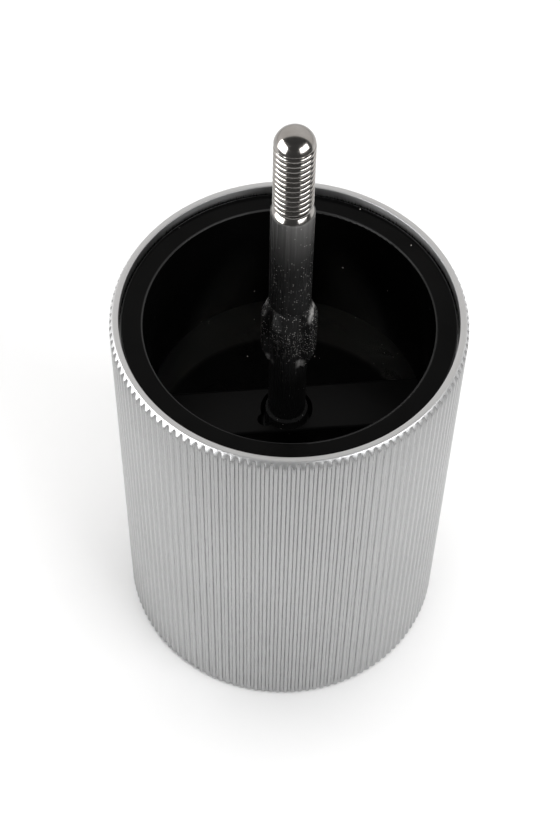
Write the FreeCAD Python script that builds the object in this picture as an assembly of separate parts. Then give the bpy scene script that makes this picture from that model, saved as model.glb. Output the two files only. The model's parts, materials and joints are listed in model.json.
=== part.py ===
import FreeCAD, Part
import math
import os

# Body of a hand mill with its head taken off: a fluted aluminium sleeve round a black hopper,
# a ceramic burr mill in the base, and the driven shaft that stands out of the top.
# Millimetres, +Z up, origin at the centre of the base on the surface it stands on.

# ---- Sleeve -------------------------------------------------------------------------------
SLEEVE_R = 27.5             # over the crests of the flutes
SLEEVE_BOTTOM = 0.3
SLEEVE_TOP = 74.0
SLEEVE_BORE_R = 25.3
RIM_BORE_R = 26.0           # wider bore at both ends
RIM_FACE_R = 26.95          # outer edge of the flat top face
RIM_CHAMFER_H = 1.1
FOOT_CHAMFER = 0.4
LINER_SHOULDER_Z = 70.5
BASE_SHOULDER_Z = 3.2
FLUTES = 132
FLUTE_R = 0.45
FLUTE_DEPTH = 0.40

# ---- Hopper liner -------------------------------------------------------------------------
HOPPER_R = 22.4
LEDGE_Z = 72.45
LEDGE_R = 25.8
WALL_R = 24.4               # outside of the liner tube and of the mill housing
TONGUE_R = 23.3             # outside of the thin lower lip
TONGUE_Z = 52.2
LINER_RIBS = 12
RIB_R = 25.15
RIB_W = 1.2

# ---- Mill housing -------------------------------------------------------------------------
HOUSING_BOTTOM = 5.0
HOUSING_TOP = 49.0
SPIGOT_R = 23.4
SPIGOT_TOP = 52.0
OUTER_SKIN_R = 22.6
FUNNEL_TOP_Z = 38.0
FUNNEL_LOW_Z = 24.0
THROAT_R = 15.6
POCKET_R = 17.2
POCKET_SKIN_R = 19.2
POCKET_TOP = 22.2
POCKET_BOTTOM = 7.9
KEYS = 3
KEY_R = 0.9

# ---- Screws -------------------------------------------------------------------------------
SCREWS = 3                  # in each of the two rings of screws
BASE_SCREW_PCR = 21.0       # radius of the circle they stand on
CLAMP_SCREW_PCR = 18.7
SCREW_SHANK_R = 0.95
SCREW_TIP_Z = 14.0
PILOT_R = 1.0
PILOT_TOP = 15.0
BOSS_TOP = 17.0
HOLE_R = 1.15
PAN_R = 1.9                 # head of a base screw
PAN_BOTTOM = 1.55
PAN_TOP = 2.85
COUNTERSUNK_R = 1.85        # head of a clamp screw
RECESS_W = 0.5
RECESS_SPAN = 2.0

# ---- Bridge and bearing -------------------------------------------------------------------
BAR_W = 9.0
BAR_H = 4.6
BRIDGE_BOSS_R = 6.0
BRIDGE_BOSS_BOTTOM = 36.0
SEAT_R = 4.25               # clearance round the foot of the shaft
SEAT_NOTCH_R = 1.3
SEAT_NOTCH_AT = 4.1
SEAT_NOTCH_DEG = 208.0
BUSH_R = 3.5
BUSH_FLANGE_R = 4.0
BUSH_BORE_R = 2.05

# ---- Shaft --------------------------------------------------------------------------------
SHAFT_R = 3.22              # above the dogs, where the head runs on it
STEM_R = 3.04               # below them
SHAFT_TOP = 98.0
SHAFT_BOTTOM = 46.2
FOOT_BEAD_R = 3.45
FOOT_BEAD_TOP = 49.6
DOG_R = 4.3
DOG_W = 4.0
DOG_EDGE = 0.4              # round along the edges of a dog
DOG_SHOULDER = 74.3
DOG_TOP = 77.7
WING_BOTTOM = 62.5
WING_CORNER = 66.3
RIB_BOTTOM = 70.4
SHAFT_DEG = -18.5           # rest angle of the dogs about the axis, from the bar
THRUST_WASHER_R = 3.35
THRUST_WASHER_BOTTOM = 45.45
PIN_Z = 73.0
PIN_R = 0.75
PIN_L = 7.0

ROD_R = 2.0
ROD_BOTTOM = 0.9
COLLAR_R = 3.05
COLLAR_TOP = 98.8
NECK_R = 2.6
THREAD_R = 3.0
THREAD_PITCH = 1.0
THREAD_DEPTH = 0.61
THREAD_BOTTOM = 99.7
THREAD_TOP = 111.9
SEAM_DEG = 37.0
NOSE_Z = 111.2              # centre of the round nose
NOSE_R = 2.95
FLAT_HALF = 1.6             # half the width across the flats that drive the burr
SLIDE_GAP = 0.1             # clearance of a washer or disc that slides on the rod
NUT_FLATS = 7.0
NUT_BOTTOM = 1.5
NUT_TOP = 4.4
NUT_COLLAR_R = 4.2
ROTOR_WASHER_R = 4.6
ROTOR_WASHER_BOTTOM = 4.45

# ---- Burrs --------------------------------------------------------------------------------
STATOR_R = 16.9
STATOR_TOP = 21.4
STATOR_FOOT_R = 13.1        # bore at the foot
STATOR_WAIST_R = 12.0       # narrowest part of the bore
STATOR_WAIST_Z = 13.4
STATOR_MOUTH_R = 13.8
GASKET_IN_R = 14.2
FINE_TEETH = 40
FINE_DEPTH = 0.45
TOOTH_W = 0.95
TOOTH_REACH = 1.6           # how far the V tool stands out of the groove it cuts
COARSE_TEETH = 12
CONE_FLUTES = 6
CONE_FOOT_R = 12.9
CONE_SHOULDER_R = 9.6
CONE_SHOULDER_Z = 14.6
CONE_TIP_R = 6.8
CONE_TIP_Z = 23.4
CARRIER_R = 4.6
CARRIER_TOP = 25.0
CARRIER_BOTTOM = 5.4
CARRIER_FLANGE_R = 9.5
CARRIER_FLANGE_TOP = 6.6
CARRIER_KEY_W = 2.0
CARRIER_KEY_R = 5.8
BURR_BOTTOM = 6.7
SLIP_DISC_R = 5.6
SLIP_DISC_TOP = 25.65

# ---- Spring -------------------------------------------------------------------------------
SPRING_R = 4.7
SPRING_WIRE_R = 0.5
SPRING_TURNS = 5.5
SPRING_BOTTOM = 26.2
SPRING_TOP = 35.4
CUP_R = 6.1                 # lower seat of the spring
CUP_WALL = 0.6
CUP_BOTTOM = 25.7
CUP_RIM = 27.2

# ---- Base ---------------------------------------------------------------------------------
BASE_BOTTOM = 0.9
BASE_TOP = 4.95
BASE_IN_R = 18.6
CLAMP_IN_R = 13.8
CLAMP_OUT_R = 18.5
CLAMP_BOTTOM = 5.6
CLAMP_EAR_R = 2.2
EAR_SCALLOP_R = 2.8
PAN_WELL_R = 2.05
PAN_WELL_TOP = 2.9
FOOT_IN_R = 23.6
FOOT_OUT_R = 25.2
FOOT_TOP = 2.25

AXIS = FreeCAD.Vector(0, 0, 1)
ORIGIN = FreeCAD.Vector(0, 0, 0)


# ---- Helpers ------------------------------------------------------------------------------
def at(r, z, deg=0.0):
    """A point at radius r and height z, turned deg about the axis."""
    return FreeCAD.Vector(r * math.cos(math.radians(deg)), r * math.sin(math.radians(deg)), z)


def unit(vector):
    """The same direction with length one."""
    return FreeCAD.Vector(vector).normalize()


def outline(corners):
    """A closed wire in the XZ plane. A corner is (r, z) or (r, z, radius of its round)."""
    points = [at(corner[0], corner[1]) for corner in corners]
    count = len(points)
    starts = []
    ends = []
    edges = []
    for i, corner in enumerate(corners):
        here = points[i]
        if len(corner) < 3:
            starts.append(here)
            ends.append(here)
            continue
        back = unit(points[i - 1] - here)
        ahead = unit(points[(i + 1) % count] - here)
        half = back.getAngle(ahead) / 2
        reach = corner[2] / math.tan(half)
        middle = here + unit(back + ahead) * (corner[2] / math.sin(half))
        starts.append(here + back * reach)
        ends.append(here + ahead * reach)
        crown = middle - unit(back + ahead) * corner[2]
        edges.append(Part.Arc(starts[i], crown, ends[i]).toShape())
    for i in range(count):
        target = starts[(i + 1) % count]
        if ends[i].distanceToPoint(target) > 1e-6:
            edges.append(Part.LineSegment(ends[i], target).toShape())
    return Part.Wire(Part.__sortEdges__(edges))


def turned(corners):
    """A solid of revolution about the axis."""
    return Part.Face(outline(corners)).revolve(ORIGIN, AXIS, 360)


def rod(radius, bottom, top, r=0.0, deg=0.0):
    """An upright cylinder, on the axis or at radius r."""
    return Part.makeCylinder(radius, top - bottom, at(r, bottom, deg), AXIS)


def ring(inner, outer, bottom, top):
    """A plain flat ring."""
    return rod(outer, bottom, top).cut(rod(inner, bottom, top))


def bar(width, inner, outer, bottom, top, deg=0.0):
    """A block that runs outward from radius inner to outer."""
    block = Part.makeBox(outer - inner, width, top - bottom,
                         FreeCAD.Vector(inner, -width / 2, bottom))
    block.rotate(ORIGIN, AXIS, deg)
    return block


def around(shape, count, start=0.0):
    """count copies of a shape spaced evenly about the axis."""
    copies = []
    for i in range(count):
        copy = shape.copy()
        copy.rotate(ORIGIN, AXIS, start + 360.0 * i / count)
        copies.append(copy)
    return copies


def v_cutter(low, high, opening, reach, width):
    """A V tool whose sharp edge runs from low to high; it is width wide at distance opening."""
    outward = unit(opening) * reach
    across = FreeCAD.Vector(0, width / 2, 0) * (reach / FINE_DEPTH)
    face = Part.Face(Part.makePolygon([low, low + outward + across, low + outward - across, low]))
    return face.extrude(high - low)


# ---- Sleeve and liner -----------------------------------------------------------------------
def body_sleeve():
    """Fluted tube: concave flutes with narrow crests, cut back by a chamfer at each end."""
    half_chord = math.sqrt(FLUTE_R ** 2 - (FLUTE_R - FLUTE_DEPTH) ** 2)
    half_deg = math.degrees(math.asin(half_chord / SLEEVE_R))
    pitch = 360.0 / FLUTES
    edges = []
    for i in range(FLUTES):
        middle = i * pitch
        left = at(SLEEVE_R, 0, middle - half_deg)
        right = at(SLEEVE_R, 0, middle + half_deg)
        following = at(SLEEVE_R, 0, middle + pitch - half_deg)
        edges.append(Part.Arc(left, at(SLEEVE_R - FLUTE_DEPTH, 0, middle), right).toShape())
        edges.append(Part.Arc(right, at(SLEEVE_R, 0, middle + pitch / 2), following).toShape())
    fluted = Part.Face(Part.Wire(edges)).extrude(FreeCAD.Vector(0, 0, SLEEVE_TOP + 1))
    blank = turned([
        (RIM_BORE_R, SLEEVE_BOTTOM),
        (SLEEVE_R - FOOT_CHAMFER, SLEEVE_BOTTOM),
        (SLEEVE_R, SLEEVE_BOTTOM + FOOT_CHAMFER),
        (SLEEVE_R, SLEEVE_TOP - RIM_CHAMFER_H),
        (RIM_FACE_R, SLEEVE_TOP),
        (RIM_BORE_R + 0.1, SLEEVE_TOP),
        (RIM_BORE_R, SLEEVE_TOP - 0.1),
        (RIM_BORE_R, LINER_SHOULDER_Z),
        (SLEEVE_BORE_R, LINER_SHOULDER_Z),
        (SLEEVE_BORE_R, BASE_SHOULDER_Z),
        (RIM_BORE_R, BASE_SHOULDER_Z),
    ])
    return blank.common(fluted)


def hopper_liner():
    """Black tube that holds the spice, hung by its top ledge on the sleeve's shoulder."""
    tube = turned([
        (HOPPER_R, HOUSING_TOP + 0.1),
        (TONGUE_R, HOUSING_TOP + 0.1),
        (TONGUE_R, TONGUE_Z),
        (WALL_R, TONGUE_Z),
        (WALL_R, LINER_SHOULDER_Z + 0.1, 0.4),
        (LEDGE_R, LINER_SHOULDER_Z + 0.1),
        (LEDGE_R, LEDGE_Z, 0.35),
        (HOPPER_R, LEDGE_Z, 0.45),
    ])
    rib = bar(RIB_W, WALL_R - 0.3, RIB_R, TONGUE_Z + 1, LINER_SHOULDER_Z + 0.5)
    return tube.fuse(around(rib, LINER_RIBS, 15)).removeSplitter()


# ---- Housing --------------------------------------------------------------------------------
def housing_shell():
    """Thin outer skin, funnel and burr pocket as one turned shape."""
    slope = (HOPPER_R - THROAT_R) / (FUNNEL_TOP_Z - FUNNEL_LOW_Z)
    skin = 1.9
    return turned([
        (WALL_R, HOUSING_BOTTOM),
        (WALL_R, SPIGOT_TOP),
        (SPIGOT_R, SPIGOT_TOP),
        (SPIGOT_R, HOUSING_TOP),
        (HOPPER_R, HOUSING_TOP),
        (HOPPER_R, FUNNEL_TOP_Z, 3.0),
        (THROAT_R, FUNNEL_LOW_Z),
        (THROAT_R, POCKET_TOP),
        (POCKET_R, POCKET_TOP),
        (POCKET_R, POCKET_BOTTOM),
        (POCKET_SKIN_R, POCKET_BOTTOM),
        (POCKET_SKIN_R, FUNNEL_LOW_Z + (POCKET_SKIN_R - skin - THROAT_R) / slope),
        (OUTER_SKIN_R, FUNNEL_LOW_Z + (OUTER_SKIN_R - skin - THROAT_R) / slope),
        (OUTER_SKIN_R, HOUSING_BOTTOM),
    ])


def mill_housing():
    """Housing of the mill: shell, screw bosses, stiffening ribs, centring bands and burr keys."""
    boss_deg = 360.0 / SCREWS
    base_boss = rod(2.2, HOUSING_BOTTOM, BOSS_TOP, BASE_SCREW_PCR)
    clamp_boss = rod(2.0, POCKET_BOTTOM, BOSS_TOP, CLAMP_SCREW_PCR)
    clamp_boss = clamp_boss.cut(rod(POCKET_R + 0.5, POCKET_BOTTOM, BOSS_TOP))
    web = bar(1.2, POCKET_SKIN_R - 0.4, OUTER_SKIN_R + 0.4, 9.0, 26.0)
    key = rod(KEY_R, POCKET_BOTTOM + 0.6, POCKET_TOP, POCKET_R)
    solids = around(base_boss, SCREWS)
    solids += around(clamp_boss, SCREWS, boss_deg / 2)
    solids += around(web, 2 * SCREWS, boss_deg / 4)
    solids += around(key, KEYS, 90.0 / KEYS)
    solids += [ring(WALL_R - 0.3, RIB_R, 6.0, 9.0), ring(WALL_R - 0.3, RIB_R, 30.0, 33.0)]
    housing = housing_shell().fuse(solids)
    cuts = around(rod(PILOT_R, HOUSING_BOTTOM - 1, PILOT_TOP, BASE_SCREW_PCR), SCREWS)
    cuts += around(rod(PILOT_R, POCKET_BOTTOM - 1, PILOT_TOP, CLAMP_SCREW_PCR), SCREWS,
                   boss_deg / 2)
    notch = bar(BAR_W + 0.2, HOPPER_R - 1.5, SPIGOT_R, HOUSING_TOP - BAR_H - 0.1, HOUSING_TOP + 0.01)
    cuts += around(notch, 2)
    return housing.cut(cuts).removeSplitter()


def bearing_bridge():
    """Bar across the hopper: its ends sit in notches of the housing, its boss carries the bush."""
    half_length = SPIGOT_R - 0.1
    beam = bar(BAR_W, -half_length, half_length, HOUSING_TOP - BAR_H, HOUSING_TOP)
    beam = beam.common(rod(half_length, HOUSING_TOP - BAR_H, HOUSING_TOP))
    upper_edges = [edge for edge in beam.Edges if edge.BoundBox.ZMin > HOUSING_TOP - 1e-6]
    long_edges = [edge for edge in upper_edges if edge.BoundBox.XLength > half_length]
    beam = beam.makeFillet(0.5, long_edges)
    boss = rod(BRIDGE_BOSS_R, BRIDGE_BOSS_BOTTOM, HOUSING_TOP - BAR_H + 0.5)
    seat = rod(SEAT_R, HOUSING_TOP - BAR_H, HOUSING_TOP + 1)
    notch = rod(SEAT_NOTCH_R, HOUSING_TOP - BAR_H, HOUSING_TOP + 1, SEAT_NOTCH_AT, SEAT_NOTCH_DEG)
    hole = rod(BUSH_R, BRIDGE_BOSS_BOTTOM - 1, HOUSING_TOP)
    return beam.fuse(boss).cut([seat, notch, hole]).removeSplitter()


def bridge_bushing():
    """Flanged bush pressed into the bridge from above."""
    flange_z = HOUSING_TOP - BAR_H
    return turned([
        (BUSH_BORE_R, BRIDGE_BOSS_BOTTOM + 0.4),
        (BUSH_R, BRIDGE_BOSS_BOTTOM + 0.4),
        (BUSH_R, flange_z),
        (BUSH_FLANGE_R, flange_z),
        (BUSH_FLANGE_R, flange_z + 1.0, 0.2),
        (BUSH_BORE_R, flange_z + 1.0),
    ])


# ---- Shaft ----------------------------------------------------------------------------------
def cross_pin_blank():
    """The cross pin along +X, before it is turned with the shaft."""
    return Part.makeCylinder(PIN_R, PIN_L, FreeCAD.Vector(-PIN_L / 2, 0, PIN_Z),
                             FreeCAD.Vector(1, 0, 0))


def is_outer_edge(edge):
    """True for an edge between the flank of a dog and its outer faces."""
    middle = edge.valueAt((edge.FirstParameter + edge.LastParameter) / 2)
    on_flank = abs(abs(middle.y) - DOG_W / 2) < 1e-4
    return on_flank and math.hypot(middle.x, middle.y) > STEM_R and edge.BoundBox.YLength < 1e-4


def dog(bottom, corner):
    """One driving dog before it is turned into place: a rib with a round lower end."""
    half = DOG_W / 2
    block = bar(DOG_W, 0, DOG_R + 1, bottom + half, DOG_TOP)
    toe = Part.makeCylinder(half, DOG_R + 1, FreeCAD.Vector(0, 0, bottom + half),
                            FreeCAD.Vector(1, 0, 0))
    envelope = turned([
        (0, bottom),
        (STEM_R - 0.1, bottom),
        (DOG_R, corner, 1.2),
        (DOG_R, DOG_SHOULDER, 0.8),
        (STEM_R, DOG_TOP),
        (0, DOG_TOP),
    ])
    plain = block.fuse(toe).removeSplitter().common(envelope)
    outer = [edge for edge in plain.Edges if is_outer_edge(edge)]
    return plain.makeFillet(DOG_EDGE, outer)


def shaft_thrust_washer():
    """Washer between the foot of the shaft and the bush."""
    return ring(ROD_R + SLIDE_GAP, THRUST_WASHER_R, THRUST_WASHER_BOTTOM, SHAFT_BOTTOM - 0.05)


def drive_shaft():
    """Black moulded shaft with two long wings and two short ribs that the head would turn."""
    stem = turned([
        (0, SHAFT_BOTTOM),
        (FOOT_BEAD_R, SHAFT_BOTTOM),
        (FOOT_BEAD_R, FOOT_BEAD_TOP, 0.2),
        (STEM_R, FOOT_BEAD_TOP + 0.4),
        (STEM_R, DOG_TOP - 0.5),
        (SHAFT_R, DOG_TOP),
        (SHAFT_R, SHAFT_TOP, 0.15),
        (0, SHAFT_TOP),
    ])
    dogs = around(dog(WING_BOTTOM, WING_CORNER), 2)
    dogs += around(dog(RIB_BOTTOM, RIB_BOTTOM + 0.8), 2, 90)
    shaft = stem.fuse(dogs).cut([rod(ROD_R, SHAFT_BOTTOM - 1, SHAFT_TOP + 1), cross_pin_blank()])
    shaft.rotate(ORIGIN, AXIS, SHAFT_DEG)
    return shaft.removeSplitter()


def shaft_cross_pin():
    """Steel pin moulded through rod and shaft, so that they turn as one."""
    pin = cross_pin_blank()
    pin.rotate(ORIGIN, AXIS, SHAFT_DEG)
    return pin


def thread_cutter():
    """Helical V groove, from below the shank to just under its top."""
    height = THREAD_TOP - THREAD_PITCH / 2 - THREAD_BOTTOM
    spine = Part.makeHelix(THREAD_PITCH, height, THREAD_R)
    spine.translate(at(0, THREAD_BOTTOM))
    mouth = THREAD_PITCH * 0.46
    root = THREAD_PITCH * 0.08
    outer = THREAD_R + 0.12
    inner = THREAD_R - THREAD_DEPTH
    section = Part.makePolygon([
        at(outer, THREAD_BOTTOM - mouth),
        at(inner, THREAD_BOTTOM - root),
        at(inner, THREAD_BOTTOM + root),
        at(outer, THREAD_BOTTOM + mouth),
        at(outer, THREAD_BOTTOM - mouth),
    ])
    return Part.Wire(spine).makePipeShell([section], True, True)


def stud():
    """M6 stud with a round nose. Its seam is turned away from the start of the groove."""
    shank = rod(THREAD_R, THREAD_BOTTOM, THREAD_TOP)
    shank.rotate(ORIGIN, AXIS, SEAM_DEG)
    ball = Part.makeSphere(NOSE_R, at(0, NOSE_Z))
    nose = ball.common(rod(THREAD_R, THREAD_TOP, NOSE_Z + NOSE_R + 1))
    return shank.cut(thread_cutter()).fuse(nose)


def threaded_rod():
    """Steel rod: stud and collar on top, plain stem, and flats that drive the burr."""
    stem = turned([
        (0, ROD_BOTTOM),
        (ROD_R - 0.4, ROD_BOTTOM),
        (ROD_R, ROD_BOTTOM + 0.4),
        (ROD_R, SHAFT_TOP),
        (COLLAR_R, SHAFT_TOP),
        (COLLAR_R, SHAFT_TOP + 0.1),
        (NECK_R, COLLAR_TOP),
        (NECK_R, THREAD_BOTTOM),
        (0, THREAD_BOTTOM),
    ])
    flat = Part.makeBox(3 * ROD_R, ROD_R, CARRIER_TOP - CARRIER_BOTTOM + 0.05,
                        FreeCAD.Vector(-1.5 * ROD_R, FLAT_HALF, CARRIER_BOTTOM - 0.05))
    steel = stem.cut(around(flat, 2) + [cross_pin_blank()]).fuse(stud())
    steel.rotate(ORIGIN, AXIS, SHAFT_DEG)
    return steel.removeSplitter()


# ---- Burrs ----------------------------------------------------------------------------------
def stator_burr():
    """Fixed ceramic ring: fine teeth at the foot, coarse flutes above, notches for the keys."""
    blank = turned([
        (STATOR_FOOT_R, POCKET_BOTTOM),
        (STATOR_R - 0.4, POCKET_BOTTOM),
        (STATOR_R, POCKET_BOTTOM + 0.4),
        (STATOR_R, STATOR_TOP),
        (STATOR_MOUTH_R, STATOR_TOP, 0.3),
        (STATOR_WAIST_R, STATOR_WAIST_Z, 0.5),
        (STATOR_WAIST_R + 0.1, POCKET_BOTTOM + 4),
    ])
    low = at(STATOR_FOOT_R + 0.15 + FINE_DEPTH, POCKET_BOTTOM - 0.6)
    high = at(STATOR_WAIST_R - 0.35 + FINE_DEPTH, STATOR_WAIST_Z)
    inward = FreeCAD.Vector(low.z - high.z, 0, high.x - low.x)
    fine = v_cutter(low, high, inward, TOOTH_REACH, TOOTH_W)
    coarse = Part.makeCylinder(1.1, 12.0, at(STATOR_WAIST_R + 0.4, STATOR_WAIST_Z - 0.4),
                               FreeCAD.Vector(0.22, 0.12, 1.0))
    cuts = around(fine, FINE_TEETH) + around(coarse, COARSE_TEETH)
    cuts += around(rod(KEY_R + 0.1, POCKET_BOTTOM - 1, STATOR_TOP + 1, POCKET_R), KEYS,
                   90.0 / KEYS)
    return blank.cut(cuts)


def stator_gasket():
    """Soft ring between the fixed burr and the top of its pocket."""
    return ring(GASKET_IN_R, POCKET_R - KEY_R, STATOR_TOP + 0.02, POCKET_TOP - 0.02)


def rotor_burr():
    """Ceramic cone: fine teeth round the foot, slanted crushing flutes above."""
    blank = turned([
        (CARRIER_R + 0.05, BURR_BOTTOM),
        (CONE_FOOT_R, BURR_BOTTOM),
        (CONE_FOOT_R - 1, BURR_BOTTOM + 4),
        (CONE_SHOULDER_R, CONE_SHOULDER_Z, 2.0),
        (CONE_TIP_R, CONE_TIP_Z, 0.6),
        (CARRIER_R + 0.05, CONE_TIP_Z + 1),
    ])
    low = at(CONE_FOOT_R + 0.05 - FINE_DEPTH, BURR_BOTTOM - 0.2)
    high = at(CONE_FOOT_R - 1.35 - FINE_DEPTH, BURR_BOTTOM + 5.4)
    outward = FreeCAD.Vector(high.z - low.z, 0, low.x - high.x)
    fine = v_cutter(low, high, outward, TOOTH_REACH, TOOTH_W)
    flute = Part.makeCylinder(2.0, 16.0, FreeCAD.Vector(CONE_FOOT_R - 1, -2.6, 11.6),
                              FreeCAD.Vector(-0.42, 0.42, 1.0))
    keyway = bar(CARRIER_KEY_W + 0.2, 0, CARRIER_KEY_R + 0.1, BURR_BOTTOM - 1, CARRIER_TOP)
    cuts = around(fine, FINE_TEETH) + around(flute, CONE_FLUTES) + around(keyway, 2)
    burr = blank.cut(cuts)
    burr.rotate(ORIGIN, AXIS, SHAFT_DEG)
    return burr


def rotor_carrier():
    """Moulded hub that carries the cone on two keys and slides onto the flats of the rod."""
    hub = rod(CARRIER_R, CARRIER_FLANGE_TOP - 0.5, CARRIER_TOP)
    flange = turned([
        (0, CARRIER_BOTTOM),
        (CARRIER_FLANGE_R, CARRIER_BOTTOM, 0.3),
        (CARRIER_FLANGE_R, CARRIER_FLANGE_TOP),
        (0, CARRIER_FLANGE_TOP),
    ])
    key = bar(CARRIER_KEY_W, ROD_R + 0.5, CARRIER_KEY_R, CARRIER_FLANGE_TOP - 0.5, CARRIER_TOP - 2)
    gap = 0.03
    bore = rod(ROD_R + gap, 0, CARRIER_TOP + 1)
    bore = bore.common(bar(2 * (FLAT_HALF + gap), -CARRIER_R, CARRIER_R, 0, CARRIER_TOP + 1))
    carrier = hub.fuse([flange] + around(key, 2)).cut(bore)
    carrier.rotate(ORIGIN, AXIS, SHAFT_DEG)
    return carrier.removeSplitter()


def rotor_washer():
    """Washer between the hub and its lock nut."""
    return ring(ROD_R + SLIDE_GAP, ROTOR_WASHER_R, ROTOR_WASHER_BOTTOM, CARRIER_BOTTOM - 0.05)


def rotor_lock_nut():
    """M4 hexagon nut on the foot of the rod, its lower corners turned off."""
    corners = [at(NUT_FLATS / math.sqrt(3), NUT_BOTTOM, 60 * i) for i in range(7)]
    hexagon = Part.Face(Part.makePolygon(corners)).extrude(AXIS * (NUT_TOP - NUT_BOTTOM))
    crown = turned([
        (0, NUT_BOTTOM),
        (NUT_COLLAR_R - 1, NUT_BOTTOM),
        (NUT_COLLAR_R, NUT_BOTTOM + 0.6),
        (NUT_COLLAR_R, NUT_TOP),
        (0, NUT_TOP),
    ])
    nut = hexagon.common(crown).cut(rod(ROD_R + 0.02, NUT_BOTTOM, NUT_TOP))
    nut.rotate(ORIGIN, AXIS, SHAFT_DEG + 12)
    return nut


# ---- Spring ---------------------------------------------------------------------------------
def slip_disc():
    """Low-friction disc on which the hub turns under the spring's seat."""
    return ring(ROD_R + SLIDE_GAP, SLIP_DISC_R, CARRIER_TOP + 0.05, SLIP_DISC_TOP)


def spring_washer():
    """Washer between the spring and the bearing boss."""
    return ring(BUSH_R - 1, BRIDGE_BOSS_R - 0.1, SPRING_TOP, BRIDGE_BOSS_BOTTOM)


def compression_spring():
    """Round-wire spring with both ends ground flat."""
    height = SPRING_TOP - SPRING_BOTTOM
    spine = Part.makeHelix(height / SPRING_TURNS, height, SPRING_R)
    spine.translate(FreeCAD.Vector(0, 0, SPRING_BOTTOM))
    section = Part.Wire(Part.makeCircle(SPRING_WIRE_R, at(SPRING_R, SPRING_BOTTOM),
                                        FreeCAD.Vector(0, 1, 0)))
    coil = Part.Wire(spine).makePipeShell([section], True, True)
    return coil.common(rod(SPRING_R + 2, SPRING_BOTTOM + 0.05, SPRING_TOP - 0.05))


def spring_seat():
    """Lower cup of the spring: it rises and falls with the burr and doesn't turn."""
    return turned([
        (ROD_R + SLIDE_GAP, CUP_BOTTOM),
        (CUP_R, CUP_BOTTOM, 0.2),
        (CUP_R, CUP_RIM),
        (CUP_R - CUP_WALL, CUP_RIM),
        (CUP_R - CUP_WALL, SPRING_BOTTOM),
        (ROD_R + SLIDE_GAP, SPRING_BOTTOM),
    ])


# ---- Base -----------------------------------------------------------------------------------
def stator_clamp_ring():
    """Ring with three ears that holds the fixed burr up in its pocket."""
    top = POCKET_BOTTOM - 0.05
    start = 180.0 / SCREWS
    body = ring(CLAMP_IN_R, CLAMP_OUT_R, CLAMP_BOTTOM, top)
    ears = around(rod(CLAMP_EAR_R, CLAMP_BOTTOM, top, CLAMP_SCREW_PCR), SCREWS, start)
    hole = rod(HOLE_R, CLAMP_BOTTOM, top, CLAMP_SCREW_PCR)
    sink_r = COUNTERSUNK_R + 0.15
    sink = Part.makeCone(sink_r, HOLE_R, sink_r - HOLE_R, at(CLAMP_SCREW_PCR, CLAMP_BOTTOM), AXIS)
    return body.fuse(ears).cut(around(hole.fuse(sink), SCREWS, start))


def cross_recess(r, top):
    """Cross-shaped driver recess at radius r, open below and ending at height top."""
    arms = []
    for turn in (30, 120):
        arm = Part.makeBox(RECESS_SPAN, RECESS_W, top,
                           FreeCAD.Vector(-RECESS_SPAN / 2, -RECESS_W / 2, 0))
        arm.rotate(ORIGIN, AXIS, turn)
        arm.translate(at(r, 0))
        arms.append(arm)
    return arms[0].fuse(arms[1])


def clamp_screws():
    """Three countersunk screws through the clamp ring."""
    head = Part.makeCone(COUNTERSUNK_R, SCREW_SHANK_R, COUNTERSUNK_R - SCREW_SHANK_R,
                         at(CLAMP_SCREW_PCR, CLAMP_BOTTOM), AXIS)
    shank = rod(SCREW_SHANK_R, CLAMP_BOTTOM + 0.4, SCREW_TIP_Z, CLAMP_SCREW_PCR)
    screw = head.fuse(shank).cut(cross_recess(CLAMP_SCREW_PCR, CLAMP_BOTTOM + 0.6))
    return Part.makeCompound(around(screw.removeSplitter(), SCREWS, 180.0 / SCREWS))


def base_ring():
    """Lower ring that closes the sleeve, with a groove for the rubber foot."""
    ring_body = turned([
        (BASE_IN_R, BASE_BOTTOM, 0.3),
        (FOOT_IN_R - 0.1, BASE_BOTTOM),
        (FOOT_IN_R - 0.1, FOOT_TOP + 0.05),
        (FOOT_OUT_R + 0.1, FOOT_TOP + 0.05),
        (FOOT_OUT_R + 0.1, BASE_BOTTOM),
        (RIM_BORE_R - 0.15, BASE_BOTTOM),
        (RIM_BORE_R - 0.15, BASE_SHOULDER_Z - 0.1),
        (SLEEVE_BORE_R - 0.2, BASE_SHOULDER_Z - 0.1),
        (SLEEVE_BORE_R - 0.2, BASE_TOP),
        (BASE_IN_R, BASE_TOP, 0.3),
    ])
    hole = rod(HOLE_R, 0, BASE_TOP + 1, BASE_SCREW_PCR)
    sink = rod(PAN_WELL_R, 0, PAN_WELL_TOP, BASE_SCREW_PCR)
    scallop = rod(EAR_SCALLOP_R, 0, BASE_TOP + 1, CLAMP_SCREW_PCR)
    cuts = around(hole.fuse(sink), SCREWS) + around(scallop, SCREWS, 180.0 / SCREWS)
    return ring_body.cut(cuts)


def base_screws():
    """Three pan-head screws that pull the base ring up against the housing."""
    head = rod(PAN_R, PAN_BOTTOM, PAN_TOP, BASE_SCREW_PCR)
    low_edges = [edge for edge in head.Edges if edge.BoundBox.ZMax < PAN_BOTTOM + 1e-6]
    head = head.makeFillet(0.5, low_edges)
    shank = rod(SCREW_SHANK_R, PAN_TOP - 0.4, SCREW_TIP_Z, BASE_SCREW_PCR)
    screw = head.fuse(shank).cut(cross_recess(BASE_SCREW_PCR, PAN_BOTTOM + 0.75))
    return Part.makeCompound(around(screw.removeSplitter(), SCREWS))


def foot_ring():
    """Rubber foot in the groove of the base ring."""
    return turned([
        (FOOT_IN_R, 0, 0.25),
        (FOOT_OUT_R, 0, 0.25),
        (FOOT_OUT_R, FOOT_TOP),
        (FOOT_IN_R, FOOT_TOP),
    ])


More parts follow.
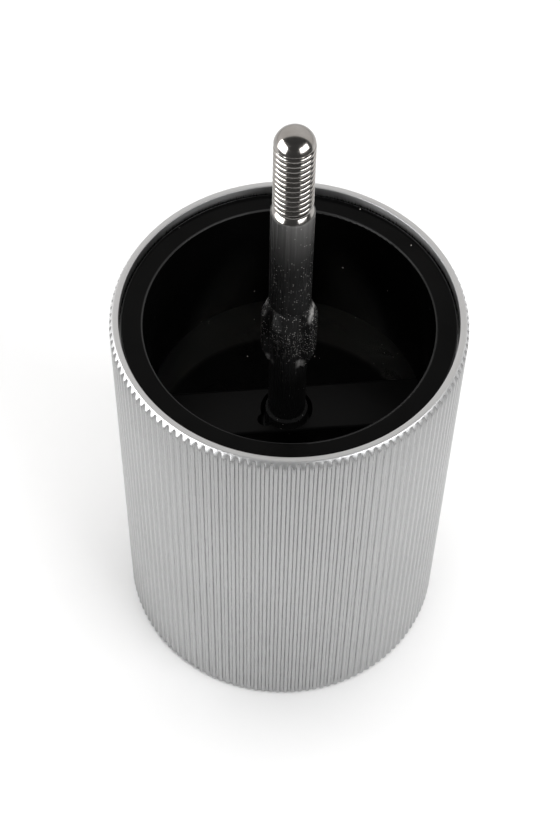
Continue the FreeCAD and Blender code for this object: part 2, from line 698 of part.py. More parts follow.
NODES = {
    "body_sleeve": body_sleeve,
    "hopper_liner": hopper_liner,
    "mill_housing": mill_housing,
    "bearing_bridge": bearing_bridge,
    "bridge_bushing": bridge_bushing,
    "shaft_thrust_washer": shaft_thrust_washer,
    "drive_shaft": drive_shaft,
    "shaft_cross_pin": shaft_cross_pin,
    "threaded_rod": threaded_rod,
    "spring_washer": spring_washer,
    "compression_spring": compression_spring,
    "spring_seat": spring_seat,
    "slip_disc": slip_disc,
    "rotor_carrier": rotor_carrier,
    "rotor_burr": rotor_burr,
    "rotor_washer": rotor_washer,
    "rotor_lock_nut": rotor_lock_nut,
    "stator_burr": stator_burr,
    "stator_gasket": stator_gasket,
    "stator_clamp_ring": stator_clamp_ring,
    "clamp_screws": clamp_screws,
    "base_ring": base_ring,
    "base_screws": base_screws,
    "foot_ring": foot_ring,
}


def main():
    os.makedirs("parts", exist_ok=True)
    for name, build in NODES.items():
        shape = build()
        solids = shape.Solids
        assert shape.isValid() and solids, name
        solid = solids[0] if len(solids) == 1 else Part.makeCompound(solids)
        solid.exportStep("parts/%s.step" % name)
        print("%-20s %d solid(s) %9.1f mm3" % (name, len(solids), solid.Volume))


main()
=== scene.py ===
import bpy
import json
import math
import numpy as np
from mathutils import Matrix, Vector


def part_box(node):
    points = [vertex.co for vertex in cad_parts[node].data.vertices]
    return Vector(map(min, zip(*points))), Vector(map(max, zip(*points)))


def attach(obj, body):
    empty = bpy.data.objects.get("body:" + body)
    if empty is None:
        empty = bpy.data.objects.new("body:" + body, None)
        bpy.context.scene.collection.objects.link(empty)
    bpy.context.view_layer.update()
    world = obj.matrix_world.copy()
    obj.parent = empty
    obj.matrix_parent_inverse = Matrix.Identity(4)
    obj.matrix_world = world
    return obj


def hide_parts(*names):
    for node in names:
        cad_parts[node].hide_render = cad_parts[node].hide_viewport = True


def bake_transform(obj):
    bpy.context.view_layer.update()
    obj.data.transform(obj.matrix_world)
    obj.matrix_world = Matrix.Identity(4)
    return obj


# Looks of a hand mill's body with the head off. Metres; MM turns millimetres into metres.
MM = 0.001
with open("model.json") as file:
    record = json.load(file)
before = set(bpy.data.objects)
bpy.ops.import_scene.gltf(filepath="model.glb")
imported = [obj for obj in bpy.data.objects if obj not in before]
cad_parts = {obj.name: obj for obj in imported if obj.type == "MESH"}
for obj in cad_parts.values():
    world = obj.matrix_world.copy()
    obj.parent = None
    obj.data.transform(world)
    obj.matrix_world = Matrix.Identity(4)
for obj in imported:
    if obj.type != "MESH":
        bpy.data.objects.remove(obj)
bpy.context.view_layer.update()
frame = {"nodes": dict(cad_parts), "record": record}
nodes = frame["nodes"]

CAMERA_TURN = -7.0              # degrees about the mill's axis, from straight in front of the bar
CAMERA_BACK = 172.5 * MM
CAMERA_HEIGHT = 296.4 * MM
CAMERA_PITCH = 34.5             # degrees up from looking straight down
CAMERA_ROLL = -0.89
CAMERA_YAW = 1.63               # degrees off the line to the axis
CAMERA_LENS = 79.16
ROOM_LIGHT = 0.05               # brightness of the room in front of the mill and above it
WALL_LIGHT = 0.62               # brightness of the wall behind it
SHAFT_DEG = -18.5               # rest angle of the shaft about its axis

# The shaft and the rod, in millimetres
DOG_TOP = 77.7                  # where the dogs leave the round shaft
WING_BOTTOM = 62.5              # lower end of the two long dogs
SHAFT_TOP = 98.0                # where the rod comes out of the shaft
ROD_R = 2.0
STUD_R = 3.0
COLLAR_R = 3.04
COLLAR_TOP = 98.8
NECK_R = 2.6                    # neck between the collar and the thread
THREAD_START = 99.7             # where the thread comes out of the neck
THREAD_PITCH = 1.0
RUNOUT_Z = 112.1                # where the thread begins to run out on the nose
NOSE_Z = 111.2                  # centre of the stud's round nose
NOSE_H = 2.95                   # height of the nose above its centre
FLATS_BOTTOM = 5.34             # the two flats that turn the burr's hub
FLATS_TOP = 25.0
FLAT_Y = 1.6                    # half of the distance across the flats


# ---- Meshes ---------------------------------------------------------------------------------
def new_object(name, verts, faces, crease_deg=35.0):
    """Mesh object with smooth faces and sharp edges wherever it folds by more than crease_deg."""
    mesh = bpy.data.meshes.new(name)
    mesh.from_pydata([tuple(v) for v in verts], [], faces)
    mesh.validate()
    mesh.shade_smooth()
    mesh.set_sharp_from_angle(angle=math.radians(crease_deg))
    obj = bpy.data.objects.new(name, mesh)
    bpy.context.scene.collection.objects.link(obj)
    return obj


def grid_faces(rows, columns, closed_rows=False):
    """Quads of a grid whose columns run round a circle; its rows may close on themselves too."""
    faces = []
    for i in range(rows if closed_rows else rows - 1):
        a = i * columns
        b = ((i + 1) % rows) * columns
        for j in range(columns):
            k = (j + 1) % columns
            faces.append((a + j, a + k, b + k, b + j))
    return faces


# ---- Sleeve ---------------------------------------------------------------------------------
def fluted_sleeve():
    """Fluted tube. The flutes have soft crests and run out in the end chamfers."""
    low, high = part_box("body_sleeve")
    crest_r = high.x / MM
    top = high.z / MM
    bottom = low.z / MM
    flutes = 132
    flute_depth = 0.40
    face_r = 26.95                  # outer edge of the flat rim
    bore_r = 26.0                   # bore at the rim and at the foot
    wall_r = 25.3                   # narrower bore between the two shoulders
    upper_shoulder = 70.5
    lower_shoulder = 3.2
    chamfer_h = 1.1
    foot_chamfer = 0.4
    crest_wear = 0.01
    steps = 28                      # columns to a flute
    steep = 1.9                     # 0 is a plain sine, more has flatter crests and grooves
    angle = np.arange(flutes * steps) * 2 * math.pi / (flutes * steps)
    wave = np.tanh(steep * np.cos(flutes * angle)) / math.tanh(steep)
    radius = crest_r - crest_wear - flute_depth / 2 * (1 + wave)
    slope = (crest_r - face_r) / chamfer_h
    columns = len(radius)
    rows = []

    def row(r, z):
        rows.append(np.stack([r * np.cos(angle), r * np.sin(angle), z + 0 * angle], 1))

    foot_z = bottom + foot_chamfer - (crest_r - radius)
    row(radius - (foot_z - bottom), np.full(columns, bottom))
    row(radius - 0.02, foot_z - 0.02)
    row(radius, foot_z + 0.05)
    for z in np.linspace(bottom + 1.2, top - 2.2, 5):
        row(radius, np.full(columns, z))
    brow_z = top - chamfer_h + (crest_r - radius) / slope
    row(radius, brow_z - 0.06)
    row(radius - 0.010, brow_z - 0.015)
    row(radius - 0.035 * slope - 0.004, brow_z + 0.035)
    rim = [(face_r + 0.05, top - 0.10), (face_r - 0.01, top - 0.035), (face_r - 0.10, top),
           (bore_r + 0.20, top), (bore_r + 0.06, top - 0.05), (bore_r, top - 0.18)]
    bore = [(bore_r, upper_shoulder), (wall_r, upper_shoulder),
            (wall_r, lower_shoulder), (bore_r, lower_shoulder), (bore_r, bottom)]
    for r, z in rim + bore:
        row(np.full(columns, r), np.full(columns, z))
    verts = np.concatenate(rows) * MM
    faces = grid_faces(len(rows), columns, closed_rows=True)
    return new_object("fluted_sleeve", verts, faces, 42)


# ---- Threaded rod ---------------------------------------------------------------------------
def stud_rows():
    """(z, r) up the threaded rod's outline, close together where the thread is."""
    foot = [(0.9, 0.0), (0.9, 1.55), (0.94, 1.62), (1.28, 1.97), (1.34, ROD_R)]
    stem = [(z, ROD_R) for z in (FLATS_BOTTOM, FLATS_BOTTOM + 0.01, FLATS_TOP - 0.01, FLATS_TOP)]
    collar = [(SHAFT_TOP - 0.02, ROD_R), (SHAFT_TOP, ROD_R + 0.02), (SHAFT_TOP, COLLAR_R - 0.06),
              (SHAFT_TOP + 0.02, COLLAR_R - 0.01), (SHAFT_TOP + 0.06, COLLAR_R),
              (SHAFT_TOP + 0.12, COLLAR_R - 0.02),
              (COLLAR_TOP - 0.1, NECK_R + 0.09), (COLLAR_TOP - 0.02, NECK_R + 0.03)]
    neck = [(COLLAR_TOP + 0.06, NECK_R), (THREAD_START - 0.45, NECK_R), (THREAD_START - 0.3, NECK_R + 0.02)]
    thread = [(z, STUD_R) for z in np.arange(THREAD_START - 0.25, NOSE_Z, 0.035)]
    nose = []
    for t in np.linspace(0, math.pi / 2, 61):
        nose.append((NOSE_Z + NOSE_H * math.sin(t), STUD_R * math.cos(t)))
    return foot + stem + collar + neck + thread + nose


def thread_radius(away):
    """Radius of the thread at a distance from the middle of its groove, both along the axis."""
    crest_round = 0.42
    flank = 1.73                    # fall of a 60 degree flank
    root_fill = 0.05
    root_width = 0.08
    start = crest_round * math.sin(math.radians(60))
    out = THREAD_PITCH / 2 - away
    arc = crest_round - np.sqrt(np.clip(crest_round ** 2 - np.minimum(out, start) ** 2, 0, None))
    root = root_fill * np.exp(-(away / root_width) ** 2)
    return STUD_R - arc - np.clip(out - start, 0, None) * flank + root


def threaded_rod():
    """Steel rod: flats for the burr, plain stem, collar, and an M6 thread that runs out on the nose."""
    columns = 180
    turn = np.arange(columns) * 2 * math.pi / columns
    soft = 0.035                    # how gently the thread meets the blank's surface
    inlet_top = THREAD_START + 0.05
    rows = []
    for z, r in stud_rows():
        radius = np.full(columns, r)
        if z > THREAD_START - 0.4:
            phase = (z - THREAD_START) / THREAD_PITCH - turn / (2 * math.pi)
            away = np.abs(phase - np.round(phase)) * THREAD_PITCH
            runout = max(0.0, z - RUNOUT_Z) * 1.6
            inlet = max(0.0, inlet_top - z) * 1.2
            gap = np.clip((thread_radius(away) + runout - radius) / soft, -40, 40)
            blended = radius - soft * np.log1p(np.exp(-gap))
            radius = np.where(r > 0.3, blended, radius)
            radius = radius - min(inlet, 0.36) * (radius > NECK_R + 0.02)
        x = radius * np.cos(turn)
        y = radius * np.sin(turn)
        if FLATS_BOTTOM + 0.005 < z < FLATS_TOP - 0.005:
            y = np.clip(y, -FLAT_Y, FLAT_Y)
        rows.append(np.stack([x, y, np.full(columns, z)], 1))
    verts = np.concatenate(rows) * MM
    rod = new_object("threaded_rod_fine", verts, grid_faces(len(rows), columns), 50)
    rod.data.transform(Matrix.Rotation(math.radians(SHAFT_DEG), 4, "Z"))
    return rod


# ---- Spring ---------------------------------------------------------------------------------
def coil_spring():
    """Helix of round wire with closed, ground ends, from the seat up to the washer."""
    low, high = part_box("compression_spring")
    wire = 0.5
    mean_r = 4.7
    bottom = low.z / MM
    top = high.z / MM
    turns = 7.0
    steps = 72
    count = int(turns * steps)
    around = np.arange(count + 1) / steps
    closed = 1.0
    open_turns = turns - 2 * closed
    length = top - bottom - 2 * wire
    lead = wire * 1.55              # rise of a closed end turn
    rise = np.where(
        around < closed, lead * around,
        np.where(around > turns - closed, length - lead * (turns - around),
                 lead * closed + (length - 2 * lead * closed) * (around - closed) / open_turns))
    centre_z = bottom + wire + rise
    sides = 20
    end_gap = 0.05
    ring = np.arange(sides) * 2 * math.pi / sides
    verts = []
    for t, z in zip(around, centre_z):
        angle = 2 * math.pi * t
        out = mean_r + wire * np.cos(ring)
        height = np.clip(z + wire * np.sin(ring), bottom + end_gap, top - end_gap)
        verts.append(np.stack([out * math.cos(angle), out * math.sin(angle), height], 1))
    verts = np.concatenate(verts) * MM
    faces = grid_faces(count + 1, sides)
    faces.append(tuple(reversed(range(sides))))
    faces.append(tuple(range(count * sides, (count + 1) * sides)))
    return new_object("coil_spring_fine", verts, faces, 45)


# ---- Materials ------------------------------------------------------------------------------
class Finish:
    """A material and short ways to build its nodes."""

    def __init__(self, name, **values):
        self.material = bpy.data.materials.new(name)
        self.material.use_nodes = True
        self.tree = self.material.node_tree
        self.shader = self.tree.nodes["Principled BSDF"]
        for key, value in values.items():
            self.shader.inputs[key.replace("_", " ")].default_value = value
        self.coords = self.tree.nodes.new("ShaderNodeTexCoord").outputs["Object"]

    def node(self, kind, inputs=(), **settings):
        node = self.tree.nodes.new(kind)
        for key, value in settings.items():
            setattr(node, key, value)
        for key, value in dict(inputs).items():
            if isinstance(value, bpy.types.NodeSocket):
                self.tree.links.new(value, node.inputs[key])
            else:
                node.inputs[key].default_value = value
        return node

    def stretched(self, x, y, z):
        """Coordinates in metres multiplied by the three factors."""
        node = self.node("ShaderNodeVectorMath", {0: self.coords, 1: (x, y, z)}, operation="MULTIPLY")
        return node.outputs[0]

    def noise(self, per_mm, detail=3.0, vector=None, rough=0.55, distortion=0.0):
        """Noise from 0 to 1 with about per_mm features in a millimetre."""
        node = self.node("ShaderNodeTexNoise", {
            "Vector": vector or self.coords, "Scale": per_mm / MM, "Detail": detail,
            "Roughness": rough, "Distortion": distortion})
        return node.outputs[0]

    def math(self, operation, a, b=0.0, clamp=False):
        node = self.node("ShaderNodeMath", {0: a, 1: b}, operation=operation, use_clamp=clamp)
        return node.outputs[0]

    def remap(self, value, low, high, to_low=0.0, to_high=1.0):
        node = self.node("ShaderNodeMapRange", {
            "Value": value, "From Min": low, "From Max": high, "To Min": to_low, "To Max": to_high})
        node.clamp = True
        return node.outputs[0]

    def mix(self, factor, a, b):
        """Colour from a to b."""
        node = self.node("ShaderNodeMix", data_type="RGBA")
        for socket, value in ((0, factor), (6, a), (7, b)):
            if isinstance(value, bpy.types.NodeSocket):
                self.tree.links.new(value, node.inputs[socket])
            else:
                node.inputs[socket].default_value = value
        return node.outputs[2]

    def specks(self, cell_mm, size, share):
        """1 inside scattered round specks: one cell in so many, each size of a cell across."""
        cells = self.node("ShaderNodeTexVoronoi", {"Vector": self.coords, "Scale": 1 / cell_mm / MM})
        dot = self.math("LESS_THAN", cells.outputs["Distance"], size)
        chosen = self.node("ShaderNodeSeparateColor", {0: cells.outputs["Color"]}).outputs[0]
        kept = self.math("LESS_THAN", chosen, share)
        return self.math("MULTIPLY", dot, kept)

    def bump(self, height, distance_mm, strength=1.0, under=None):
        inputs = {"Height": height, "Distance": distance_mm * MM, "Strength": strength}
        if under is not None:
            inputs["Normal"] = under
        return self.node("ShaderNodeBump", inputs).outputs[0]

    def set(self, **sockets):
        for key, value in sockets.items():
            self.tree.links.new(value, self.shader.inputs[key.replace("_", " ")])
        return self.material

    def facing_up(self):
        """1 on a surface that faces straight up, 0 on a wall."""
        normal = self.node("ShaderNodeNewGeometry").outputs["Normal"]
        return self.node("ShaderNodeSeparateXYZ", {0: normal}).outputs[2]

    def edges(self, width_mm, low=0.02, high=0.25):
        """1 along edges and corners about width_mm wide, 0 on open faces."""
        normal = self.node("ShaderNodeNewGeometry").outputs["Normal"]
        round_normal = self.node("ShaderNodeBevel", {"Radius": width_mm * MM}, samples=8).outputs[0]
        along = self.node("ShaderNodeVectorMath", {0: normal, 1: round_normal}, operation="DOT_PRODUCT")
        return self.remap(along.outputs["Value"], 1 - low, 1 - high)

    def top_rounds(self):
        """1 on the round between a wall and a flat top, 0 on both of them."""
        up = self.facing_up()
        return self.math("MULTIPLY", self.remap(up, 0.2, 0.5), self.remap(up, 0.97, 0.8))

    def across(self):
        """Distance from the upright axis, in metres."""
        flat = self.stretched(1, 1, 0)
        return self.node("ShaderNodeVectorMath", {0: flat}, operation="LENGTH").outputs["Value"]

    def height(self):
        """Height above the floor in millimetres."""
        z = self.node("ShaderNodeSeparateXYZ", {0: self.coords}).outputs[2]
        return self.math("DIVIDE", z, MM)


def grey(value, warm=0.0):
    return (value * (1 + warm), value, value * (1 - warm), 1.0)


def anodised():
    """Satin anodised aluminium, drawn along the flutes, with a smooth bright turned rim."""
    f = Finish("anodised_aluminium", Metallic=1.0, IOR=1.5)
    drawn = f.noise(7, 3, f.stretched(1, 1, 0.02))
    cloud = f.noise(0.05, 3)
    grain = f.noise(22, 2)
    fluted = f.remap(f.across(), 26.96 * MM, 27.04 * MM)
    turned = f.remap(f.facing_up(), 0.1, 0.3)
    tone = f.math("ADD", f.math("MULTIPLY", drawn, 0.5), f.math("MULTIPLY", cloud, 0.5))
    satin = f.mix(f.remap(tone, 0.3, 0.7), grey(0.43, -0.004), grey(0.48, -0.004))
    colour = f.mix(turned, satin, grey(0.82, -0.004))
    rough = f.remap(f.math("ADD", drawn, f.math("MULTIPLY", grain, 0.5)), 0.5, 1.0, 0.22, 0.32)
    rough = f.math("ADD", rough, f.math("MULTIPLY", turned, 0.18))
    height = f.math("ADD", f.math("MULTIPLY", grain, 0.4), f.math("MULTIPLY", drawn, 0.6))
    normal = f.bump(f.math("MULTIPLY", height, fluted), 0.003, 0.5)
    return f.set(Base_Color=colour, Roughness=rough, Normal=normal)


def moulded(name, base, rough, grain_mm=0.0, dust=0.0, specular=0.4, edge_highlight=0.0):
    """Moulded plastic: faint flow variation, a fine moulded grain and loose spice dust."""
    f = Finish(name, Specular_IOR_Level=specular)
    flow = f.noise(0.12, 3, distortion=0.6)
    grain = f.noise(9, 3)
    colour = f.mix(f.remap(flow, 0.3, 0.7), grey(base * 0.8), grey(base * 1.25))
    roughness = f.remap(f.math("ADD", flow, f.math("MULTIPLY", grain, 0.4)), 0.4, 1.0,
                        rough * 0.82, rough * 1.2)
    # painted highlight: the rounded top edges are coloured paler, standing in for the light they catch
    if edge_highlight > 0:
        colour = f.mix(f.top_rounds(), colour, grey(edge_highlight))
    if dust > 0:
        patch = f.remap(f.noise(0.16, 3), 0.38, 0.68, dust * 0.15, dust * 1.6)
        fine = f.specks(0.42, 0.2, patch)
        coarse = f.specks(1.1, 0.13, f.math("MULTIPLY", patch, 0.5))
        powder = f.math("MAXIMUM", fine, coarse)
        colour = f.mix(powder, colour, grey(0.5, 0.05))
        roughness = f.math("MAXIMUM", roughness, f.math("MULTIPLY", powder, 0.8))
    normal = f.bump(grain, 0.02 + grain_mm, 0.35)
    return f.set(Base_Color=colour, Roughness=roughness, Normal=normal)


def dusty_shaft():
    """Black moulded shaft. Its colour is painted paler towards the top, a painted light that fades down the
    shaft, and it is paler along its edges. White dust is thickest round the dogs, and painted highlights
    lie in patches on the shoulders and the toes of the wings."""
    f = Finish("shaft_plastic", Specular_IOR_Level=0.28)
    lines = f.noise(1.6, 4, f.stretched(1, 1, 0.02))
    flow = f.noise(0.15, 3)
    z = f.height()
    patch = f.remap(f.noise(0.3, 3), 0.3, 0.65, 0.4, 1.0)
    round_dogs = f.math("MULTIPLY", f.remap(z, WING_BOTTOM + 2.5, WING_BOTTOM + 5.5),
                        f.remap(z, DOG_TOP - 4.7, DOG_TOP + 0.3, 1.0, 0.3))
    amount = f.math("MULTIPLY", round_dogs, f.remap(z, DOG_TOP + 1.3, SHAFT_TOP - 6, 1.0, 0.2))
    amount = f.math("MULTIPLY", patch, f.math("ADD", amount, 0.03))
    fine = f.specks(0.30, 0.28, f.math("MULTIPLY", amount, 0.95))
    coarse = f.specks(0.8, 0.15, f.math("MULTIPLY", amount, 0.3))
    powder = f.math("MAXIMUM", f.math("MULTIPLY", fine, 0.36), f.math("MULTIPLY", coarse, 0.7))
    # paler along the edges, in a patchy band about a quarter of a millimetre wide
    pale_edges = f.math("MULTIPLY", f.edges(0.25), f.remap(f.noise(1.6, 4), 0.35, 0.6, 0.02, 0.09))
    # painted light: the colour turns paler in streaks towards the top of the shaft and fades down it,
    # standing in for the light that reaches the upper shaft
    painted_top_light = f.math("POWER", f.remap(z, SHAFT_TOP - 14, SHAFT_TOP - 0.2), 2.4)
    painted_top_light = f.math("MULTIPLY", painted_top_light, f.remap(lines, 0.35, 0.65, 0.16, 0.24))
    pale_edges_and_painted_light = f.math("MAXIMUM", pale_edges, painted_top_light)
    turn = math.radians(SHAFT_DEG)
    along_wings = (math.cos(turn), math.sin(turn), 0)
    span = f.node("ShaderNodeVectorMath", {0: f.coords, 1: along_wings}, operation="DOT_PRODUCT")
    span = f.math("DIVIDE", f.math("ABSOLUTE", span.outputs["Value"]), MM)
    # painted highlights: pale patches on the shoulders and toes of the wings stand in for the glints of
    # light there
    shoulders = f.math("MULTIPLY", f.remap(span, 3.1, 3.5), f.remap(z, DOG_TOP, DOG_TOP - 0.6))
    shoulders = f.math("MULTIPLY", shoulders, f.remap(z, DOG_TOP - 2.9, DOG_TOP - 1.7))
    toes = f.math("MULTIPLY", f.remap(span, 1.6, 2.2), f.remap(span, 3.3, 2.8))
    toes = f.math("MULTIPLY", toes, f.remap(z, WING_BOTTOM + 3.5, WING_BOTTOM + 2.9))
    toes = f.math("MULTIPLY", toes, f.remap(z, WING_BOTTOM + 1.1, WING_BOTTOM + 1.9))
    painted_glints = f.math("MAXIMUM", shoulders, toes)
    painted_glints = f.math("MULTIPLY", painted_glints, f.remap(f.noise(0.9, 3), 0.40, 0.58, 0.0, 0.6))
    pale_edges_and_painted_light = f.math("MAXIMUM", pale_edges_and_painted_light, painted_glints)
    plastic = f.mix(f.remap(flow, 0.3, 0.7), grey(0.013), grey(0.019))
    # this pale grey carries the pale edges, the painted top light and the painted highlights
    plastic = f.mix(pale_edges_and_painted_light, plastic, grey(0.5, 0.02))
    colour = f.mix(powder, plastic, grey(0.6, 0.03))
    rough = f.math("MAXIMUM", f.remap(lines, 0.3, 0.75, 0.18, 0.34), f.math("MULTIPLY", powder, 0.85))
    normal = f.bump(powder, 0.03, 0.5, f.bump(lines, 0.02, 0.5))
    return f.set(Base_Color=colour, Roughness=rough, Normal=normal)


def metal(name, base, rough, warm=0.0, lines=None, spread=0.12):
    """Turned or drawn metal: fine lines round it or along it, faint stains and scratches."""
    f = Finish(name, Metallic=1.0)
    stain = f.noise(0.35, 4)
    drawn = f.noise(5.0, 3, f.stretched(*(lines or (0.04, 0.04, 1.0))))
    scratch = f.noise(1.4, 2, f.stretched(1, 0.06, 0.3))
    colour = f.mix(f.remap(stain, 0.3, 0.75), grey(base, warm), grey(base * 0.82, warm * 1.4))
    value = f.math("ADD", f.math("MULTIPLY", drawn, 0.6), f.math("MULTIPLY", stain, 0.4))
    roughness = f.remap(value, 0.3, 0.7, rough, rough + spread)
    height = f.math("ADD", drawn, f.remap(scratch, 0.68, 0.74, 0.0, 0.6))
    normal = f.bump(height, 0.006, 0.5)
    return f.set(Base_Color=colour, Roughness=roughness, Normal=normal)


def rubber(name, base):
    f = Finish(name, Specular_IOR_Level=0.3)
    cloud = f.noise(0.3, 4)
    grain = f.noise(14, 3)
    scuff = f.remap(f.noise(0.8, 4, f.stretched(1, 1, 3)), 0.56, 0.72)
    colour = f.mix(f.remap(cloud, 0.3, 0.7), grey(base * 0.8), grey(base * 1.3))
    colour = f.mix(f.math("MULTIPLY", scuff, 0.35), colour, grey(0.16))
    rough = f.remap(cloud, 0.3, 0.7, 0.62, 0.8)
    return f.set(Base_Color=colour, Roughness=rough, Normal=f.bump(grain, 0.03, 0.5))


def ceramic():
    """Sintered ceramic: off-white, faintly mottled, with fine pits and ground-in dust."""
    f = Finish("sintered_ceramic", Specular_IOR_Level=0.5)
    mottle = f.noise(0.5, 4)
    pits = f.specks(0.5, 0.16, 0.18)
    stain = f.remap(f.noise(0.22, 4), 0.48, 0.75)
    colour = f.mix(f.remap(mottle, 0.3, 0.7), (0.80, 0.78, 0.73, 1), (0.88, 0.865, 0.82, 1))
    colour = f.mix(f.math("MULTIPLY", stain, 0.25), colour, (0.42, 0.33, 0.22, 1))
    colour = f.mix(f.math("MULTIPLY", pits, 0.5), colour, (0.35, 0.29, 0.22, 1))
    rough = f.remap(mottle, 0.3, 0.7, 0.38, 0.55)
    height = f.math("SUBTRACT", f.noise(7, 3), f.math("MULTIPLY", pits, 0.5))
    return f.set(Base_Color=colour, Roughness=rough, Normal=f.bump(height, 0.02, 0.5))


def floor_paper():
    """White paper. Only in the metal's reflections, its colour is painted dark away from the lit middle, as
    painted shade: almost black at the front and less dark at the back.
    Far from the mill the camera sees it shine, so that it meets the white room evenly."""
    f = Finish("floor_paper", Specular_IOR_Level=0.1, Emission_Color=grey(1.0))
    fibre = f.noise(0.02, 4)
    across = f.across()
    backward = f.node("ShaderNodeSeparateXYZ", {0: f.coords}).outputs[1]
    far = f.math("MULTIPLY", f.remap(across, 0.065, 0.14), f.remap(backward, 0.04, -0.04, 0.35, 1.0))
    path = f.node("ShaderNodeLightPath").outputs
    shine = f.math("MULTIPLY", f.remap(across, 0.2, 0.4), path["Is Camera Ray"])
    paper = f.mix(f.remap(fibre, 0.3, 0.7), grey(0.92), grey(0.94))
    # painted shade: the colour seen in reflections falls to almost black away from the middle, most at the
    # front
    mirrored = f.mix(far, grey(0.88), grey(0.04))
    colour = f.mix(path["Is Glossy Ray"], paper, mirrored)
    return f.set(Base_Color=colour, Roughness=f.remap(fibre, 0.3, 0.7, 0.85, 0.95),
                 Emission_Strength=shine, Normal=f.bump(f.noise(0.5, 3), 0.02, 0.1))


finishes = {
    "sleeve_aluminium": anodised(),
    "hopper_plastic": moulded("hopper_plastic", 0.002, 0.10, dust=0.004, specular=0.06, edge_highlight=0.03),
    "housing_plastic": moulded("housing_plastic", 0.004, 0.30, 0.01, dust=0.015, specular=0.2),
    "bridge_plastic": moulded("bridge_plastic", 0.002, 0.34, 0.01, dust=0.006, specular=0.12),
    "bearing_plastic": moulded("bearing_plastic", 0.004, 0.30, specular=0.2),
    "washer_steel": metal("washer_steel", 0.55, 0.26, 0.01),
    "shaft_plastic": dusty_shaft(),
    "bright_steel": metal("bright_steel", 0.57, 0.10, 0.04),
    "spring_steel": metal("spring_steel", 0.48, 0.24, 0.01, (1, 1, 1)),
    "spring_seat_plastic": moulded("spring_seat_plastic", 0.03, 0.42, 0.01),
    "slip_plastic": moulded("slip_plastic", 0.72, 0.38, 0.01, specular=0.5),
    "carrier_plastic": moulded("carrier_plastic", 0.022, 0.40, 0.02, dust=0.06),
    "ceramic": ceramic(),
    "seal_rubber": rubber("seal_rubber", 0.22),
    "screw_steel": metal("screw_steel", 0.58, 0.22, 0.0),
    "base_plastic": moulded("base_plastic", 0.018, 0.42, 0.03, dust=0.03),
    "foot_rubber": rubber("foot_rubber", 0.02),
}


def dress(obj, slot):
    obj.data.materials.clear()
    obj.data.materials.append(finishes[slot])


def stand_in(obj, node, slot, body):
    """obj shows in place of one CAD node and rides on that node's body."""
    dress(obj, slot)
    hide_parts(node)
    if body:
        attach(obj, body)


for part in frame["record"]["subparts"]:
    dress(nodes[part["node"]], part["material_slot"])

stand_in(fluted_sleeve(), "body_sleeve", "sleeve_aluminium", "mill_body")
stand_in(threaded_rod(), "threaded_rod", "bright_steel", "shaft")
spring = coil_spring()
stand_in(spring, "compression_spring", "spring_steel", None)
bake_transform(spring)


# ---- Floor, lights and camera ---------------------------------------------------------------
def paper_floor():
    """Sheet of pale paper. It ends not far in front of the mill, and in reflections its front is painted
    dark, so the front stays dark in the metal.
    """
    front, back, side = 0.45, 1.6, 1.3
    corners = [(-side, -front, 0), (side, -front, 0), (side, back, 0), (-side, back, 0)]
    floor = new_object("floor", corners, [(0, 1, 2, 3)])
    floor.data.transform(Matrix.Rotation(math.radians(CAMERA_TURN), 4, "Z"))
    floor.data.materials.append(floor_paper())


def soft_box(name, azimuth, elevation, distance, width, height, power):
    """Rectangular light that faces the top of the mill. Azimuth 0 is in front of the bar."""
    target = Vector((0, 0, 0.08))
    turn = math.radians(azimuth - 90)
    lift = math.radians(elevation)
    away = Vector((math.cos(turn) * math.cos(lift), math.sin(turn) * math.cos(lift), math.sin(lift)))
    light = bpy.data.lights.new(name, "AREA")
    light.shape = "RECTANGLE"
    light.size = width
    light.size_y = height
    light.energy = power
    obj = bpy.data.objects.new(name, light)
    bpy.context.scene.collection.objects.link(obj)
    obj.location = target + away * distance
    obj.rotation_euler = away.to_track_quat("Z", "Y").to_euler()
    return obj


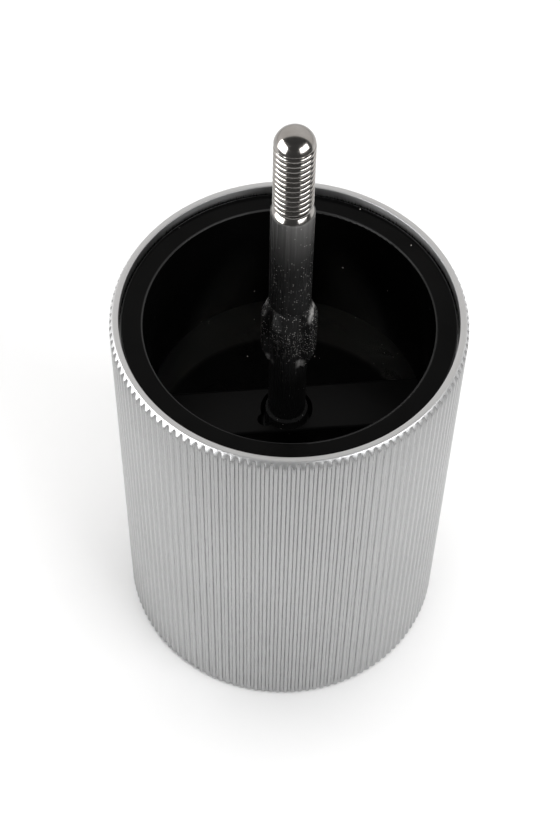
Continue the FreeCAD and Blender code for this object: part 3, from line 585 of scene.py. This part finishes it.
def studio():
    """Softboxes at the left, the right and overhead, a grey wall behind and a dark room in front.
    The left one shows only in gloss, and the overhead one only in matt surfaces. The camera itself
    sees the room as white."""
    world = bpy.data.worlds.new("studio")
    bpy.context.scene.world = world
    world.use_nodes = True
    nodes_of = world.node_tree.nodes
    link = world.node_tree.links.new
    turn = math.radians(CAMERA_TURN)
    behind = nodes_of.new("ShaderNodeVectorMath")
    behind.operation = "DOT_PRODUCT"
    behind.inputs[1].default_value = (-math.sin(turn), math.cos(turn), 0)
    link(nodes_of.new("ShaderNodeTexCoord").outputs["Generated"], behind.inputs[0])
    wall = nodes_of.new("ShaderNodeMapRange")
    wall.interpolation_type = "SMOOTHSTEP"
    wall.inputs["From Min"].default_value = 0.10
    wall.inputs["From Max"].default_value = 0.22
    link(behind.outputs["Value"], wall.inputs["Value"])
    room = nodes_of.new("ShaderNodeMix")
    room.data_type = "RGBA"
    room.inputs[6].default_value = grey(ROOM_LIGHT)
    room.inputs[7].default_value = grey(WALL_LIGHT, 0.02)
    link(wall.outputs[0], room.inputs[0])
    seen = nodes_of.new("ShaderNodeMix")
    seen.data_type = "RGBA"
    seen.inputs[7].default_value = grey(1.0)
    link(nodes_of.new("ShaderNodeLightPath").outputs["Is Camera Ray"], seen.inputs[0])
    link(room.outputs[2], seen.inputs[6])
    link(seen.outputs[2], nodes_of["Background"].inputs["Color"])
    left = soft_box("left_box", azimuth=CAMERA_TURN - 71, elevation=12, distance=0.60,
                    width=0.62, height=0.45, power=5.7)
    left.visible_diffuse = False
    soft_box("right_box", azimuth=CAMERA_TURN + 54, elevation=20, distance=0.66,
             width=0.56, height=0.30, power=3.0)
    overhead = soft_box("overhead", azimuth=0, elevation=90, distance=1.2,
                        width=1.2, height=1.2, power=16.0)
    overhead.visible_glossy = False


def camera():
    data = bpy.data.cameras.new("camera")
    data.lens = CAMERA_LENS
    data.clip_start = 0.01
    data.clip_end = 20
    obj = bpy.data.objects.new("camera", data)
    bpy.context.scene.collection.objects.link(obj)
    turn = math.radians(CAMERA_TURN)
    obj.location = (CAMERA_BACK * math.sin(turn), -CAMERA_BACK * math.cos(turn), CAMERA_HEIGHT)
    obj.rotation_euler = [math.radians(a) for a in (CAMERA_PITCH, CAMERA_ROLL, CAMERA_TURN + CAMERA_YAW)]
    bpy.context.scene.camera = obj


paper_floor()
studio()
camera()
bpy.context.scene.view_settings.view_transform = "Standard"
